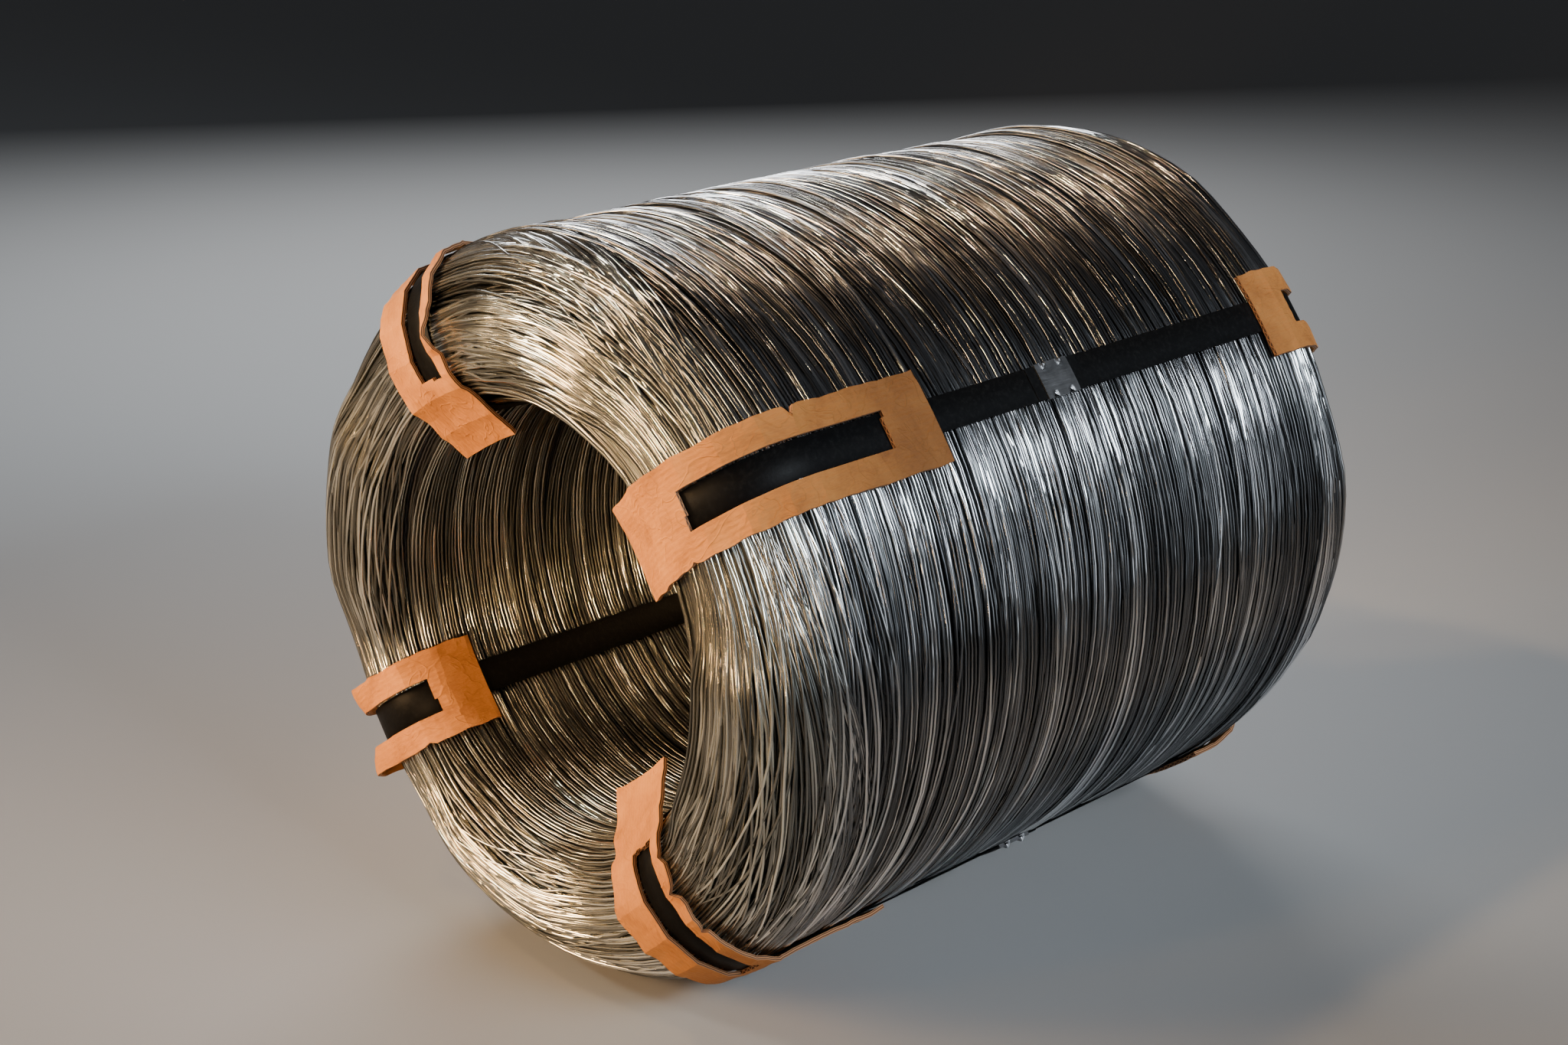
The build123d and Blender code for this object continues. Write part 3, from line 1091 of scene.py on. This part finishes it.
def make_board(board):
    """One cardboard protector as a closed shell with its window."""
    window_low, window_high = board["window"]
    extra = [window_low, window_high] + [near_shoulder + fold_pitch * i for i in range(5)]
    extra += [centre for centre, side, depth, width in board.get("nicks", ())]
    shift = board.get("shift", 0.0)
    window_left, window_right = shift - window_half_width, shift + window_half_width
    tears = board.get("tears", ())
    edges = [window_left, window_right] + [edge for tear in tears for edge in tear[2:]]
    extra += [edge for tear in tears for edge in tear[:2]]
    places = lines_between(board["inner"], board["tail"], 0.006, extra)
    acrosses = lines_between(-board_half_width, board_half_width, 0.005, edges)

    def kept(i, j):
        """Whether a square of the grid is board, and not window, tear or beyond the edge."""
        if not (0 <= i < len(places) - 1 and 0 <= j < len(acrosses) - 1):
            return False
        place = (places[i] + places[i + 1]) / 2
        across = (acrosses[j] + acrosses[j + 1]) / 2
        if window_low < place < window_high and window_left < across < window_right:
            return False
        return not any(low < place < high and left < across < right for low, high, left, right in tears)

    width = len(acrosses)
    total = len(places) * width
    points = [board_spot(board, p, a, board_thickness) for p in places for a in acrosses]
    points += [board_spot(board, p, a, 0.0) for p in places for a in acrosses]
    faces, uvs, cut = [], [], []
    for i in range(len(places) - 1):
        for j in range(width - 1):
            if not kept(i, j):
                continue
            corners = [(i, j), (i, j + 1), (i + 1, j + 1), (i + 1, j)]
            flat = [(places[a], acrosses[b]) for a, b in corners]
            top = [a * width + b for a, b in corners]
            faces += [top, [total + index for index in reversed(top)]]
            uvs += [flat, flat[::-1]]
            cut += [0, 0]
            neighbours = [(i - 1, j), (i, j + 1), (i + 1, j), (i, j - 1)]
            for number, (a, b) in enumerate(neighbours):
                if kept(a, b):
                    continue
                after = (number + 1) % 4
                one, two = top[number], top[after]
                faces.append([two, one, total + one, total + two])
                shows_waves = number in (0, 2)
                u_one, u_two = [flat[k][1] if shows_waves else 0.0 for k in (number, after)]
                uvs.append([(u_two, 1), (u_one, 1), (u_one, 0), (u_two, 0)])
                cut.append(1)
    mesh = bpy.data.meshes.new(board["name"])
    mesh.from_pydata(points, [], faces)
    layer = mesh.uv_layers.new(name="UVMap")
    layer.data.foreach_set("uv", [value for face in uvs for corner in face for value in corner])
    new_piece(board["name"], mesh, cardboard_finish, "cardboard", board["node"])
    mesh.materials.append(cut_edge_finish)
    mesh.polygons.foreach_set("material_index", cut)
    face_outwards(mesh, drop_loose_points)


# %% [markdown]
# Each near board is described by what the photograph shows of it: where its inner end is, where
# it leaves the coil, its window, and its own dents, nicks and tears. The far ones are guessed.

# %% The eight boards
near_tail_place = outside_start + 0.14
far_tail_place = outside_start + 0.03
near_shapes = [
    dict(inner=0.335, leave=0.396, window=(0.416, 0.62), shift=-0.012, crumple=0.003,
         lifts=[(0.415, -1, 0.02, 0.003)], ridges=[(0.45, -1, 0.02, 0.013), (0.49, 1, 0.03, 0.003)],
         nicks=[(0.47, -1, 0.006, 0.006)], tears=[(0.4135, 0.416, -0.029, -0.013)]),
    dict(inner=0.351, leave=0.412, window=(0.462, 0.662), crumple=0.0025,
         lifts=[(0.53, 1, 0.05, 0.004)], ridges=[(0.57, 1, 0.02, 0.003), (0.51, -1, 0.015, 0.002)],
         nicks=[(0.572, 1, 0.009, 0.003), (0.45, -1, 0.004, 0.005)],
         tears=[(0.4595, 0.462, -0.0172, -0.004), (0.662, 0.665, 0.011, 0.0172)]),
    dict(inner=0.328, leave=0.333, window=(0.380, 0.55), crumple=0.003,
         lifts=[(0.49, -1, 0.05, 0.010), (0.49, 1, 0.05, 0.018)], ridges=[(0.40, -1, 0.02, 0.002)],
         nicks=[(0.40, 1, 0.003, 0.005)], tears=[(0.3775, 0.380, 0.004, 0.0172)]),
    dict(inner=0.308, leave=0.39, window=(0.397, 0.56), shift=0.011, swing=-0.25, crumple=0.004,
         lifts=[(0.44, -1, 0.03, 0.004)], ridges=[(0.43, -1, 0.012, 0.003), (0.47, -1, 0.012, 0.003)],
         nicks=[(0.415, 1, 0.006, 0.006), (0.445, 1, 0.009, 0.006), (0.485, 1, 0.008, 0.005)],
         tears=[(0.3935, 0.397, 0.0, 0.008), (0.395, 0.397, 0.018, 0.0282)]),
]
far_shape = dict(inner=0.375, leave=0.39, window=(0.42, 0.5578), crumple=0.002)
for number in strap_numbers:
    azimuth = strap_azimuths[number - 1]
    near = dict(number=number, side=-1, azimuth=azimuth, tail=near_tail_place, seed=number * 5.3)
    near.update(near_shapes[number - 1], name=f"near_board_{number}", node=f"near_protector_{number}")
    make_board(near)
    far = dict(number=number, side=1, azimuth=azimuth, tail=far_tail_place, seed=number * 7.7 + 40)
    far.update(far_shape, name=f"far_board_{number}", node=f"far_protector_{number}")
    make_board(far)
print("boards", 2 * len(strap_numbers))

# %% [markdown]
# The floor, the camera and the lights aren't part of the coil. The floor is plain and pale.

# %% Floor
def make_floor(side=40.0):
    """A pale plane under the coil."""
    mesh = bpy.data.meshes.new("floor")
    corners = [(side * x / 2, side * y / 2, 0) for x, y in ((-1, -1), (1, -1), (1, 1), (-1, 1))]
    mesh.from_pydata(corners, [], [(0, 1, 2, 3)])
    floor = add_object("floor", mesh)
    material, tree, shader = new_finish("pale_floor")
    fill(tree, shader, {"Base Color": (0.37, 0.37, 0.367, 1), "Roughness": 0.7})
    mesh.materials.append(material)


make_floor()

# %% [markdown]
# The camera stands where the photograph was taken from: turned round the coil and a little above
# it. These numbers come from fitting a pinhole camera to the outline and the straps in the photo.

# %% Camera
photo_width, photo_height = 2048, 1365
photo_focal_length = 3200
axis_middle_in_photo = (1099.2, 685.2)
camera_azimuth = math.radians(46.62)
camera_pitch = math.radians(20.54)
camera_distance = 2.426


def make_camera():
    """A camera that sees the middle of the coil's axis where the photograph has it."""
    data = bpy.data.cameras.new("camera")
    data.sensor_width = 36
    data.lens = data.sensor_width * photo_focal_length / photo_width
    camera = add_object("camera", data)
    ahead = Vector((
        -math.sin(camera_azimuth) * math.cos(camera_pitch),
        math.cos(camera_azimuth) * math.cos(camera_pitch),
        -math.sin(camera_pitch),
    ))
    right = Vector((math.cos(camera_azimuth), math.sin(camera_azimuth), 0))
    up = right.cross(ahead)
    across = (axis_middle_in_photo[0] - photo_width / 2) / photo_focal_length
    down = (axis_middle_in_photo[1] - photo_height / 2) / photo_focal_length
    to_axis = ahead + right * across - up * down
    camera.location = Vector((0, 0, axis_height)) - to_axis * camera_distance
    camera.rotation_euler = ahead.to_track_quat("-Z", "Y").to_euler()
    bpy.context.scene.camera = camera
    return camera


camera = make_camera()
print("camera at", [round(x, 3) for x in camera.location])

# %% [markdown]
# A round turn of wire shines where it lies square to the middle direction between camera and light.
# So each light's direction picks the angle on the coil that it draws its streaks at. A small spread
# stands for a grid in front of a softbox: it keeps that light on its part of the coil and off the
# pale floor, which would be mirrored in the lowest turns.

# %% Lights
middle = (0, 0, axis_height)
cool, white, cream = (0.82, 0.91, 1.0), (0.95, 0.97, 1.0), (1.0, 0.93, 0.76)
pale_gold, light_gold, gold = (1.0, 0.68, 0.36), (1.0, 0.66, 0.36), (1.0, 0.61, 0.29)
# Name, direction, distance, width and height, power, colour, spread in degrees, and aim
lights = [
    ("light_right", (0.86, 0.1, 0.44), 3.0, (2.2, 0.7), 11.5, cool, 44, (0.1, 0, 0.55)),
    ("light_low", (0.95, 0.0, 0.1), 3.2, (2.4, 1.3), 6, cool, 120, middle),
    ("light_behind", (-0.85, 0.55, 0.5), 3.4, (2.4, 0.6), 80, white, 180, middle),
    ("light_overhead", (-0.32, -0.6, 0.78), 2.6, (0.22, 0.1), 2.3, light_gold, 44, (0.12, 0.15, 0.68)),
    ("light_crest", (-0.1, -0.93, 0.32), 3.0, (0.5, 0.25), 0.8, pale_gold, 20, (0.1, -0.38, 0.6)),
    ("light_swirl", (-0.68, -0.6, 0.42), 3.0, (0.4, 0.3), 2.0, cream, 30, (0, -0.35, 0.62)),
    ("light_eye", (0.42, -0.9, 0.06), 3.0, (0.4, 0.3), 1.1, gold, 18, (-0.18, -0.3, 0.3)),
    ("light_front", (-0.55, -0.78, 0.2), 3.0, (1.1, 0.9), 15, gold, 50, (-0.05, -0.35, 0.42)),
    ("light_through", (-0.18, 0.95, 0.24), 0.62, (0.2, 0.2), 1.5, gold, 90, middle),
]


def add_softbox(name, toward, distance, size, power, colour, spread, aim):
    """A rectangular light that looks at a point of the coil."""
    data = bpy.data.lights.new(name, "AREA")
    data.shape = "RECTANGLE"
    data.size, data.size_y = size
    data.energy = power
    data.color = colour
    data.spread = math.radians(spread)
    light = add_object(name, data)
    direction = Vector(toward).normalized()
    light.location = Vector(aim) + direction * distance
    light.rotation_euler = (-direction).to_track_quat("-Z", "Y").to_euler()


for row in lights:
    add_softbox(*row)

world = bpy.data.worlds.new("studio")
world.use_nodes = True
background = world.node_tree.nodes["Background"]
fill(world.node_tree, background, {"Color": (0.9, 0.93, 1.0, 1), "Strength": 0.05})
bpy.context.scene.world = world
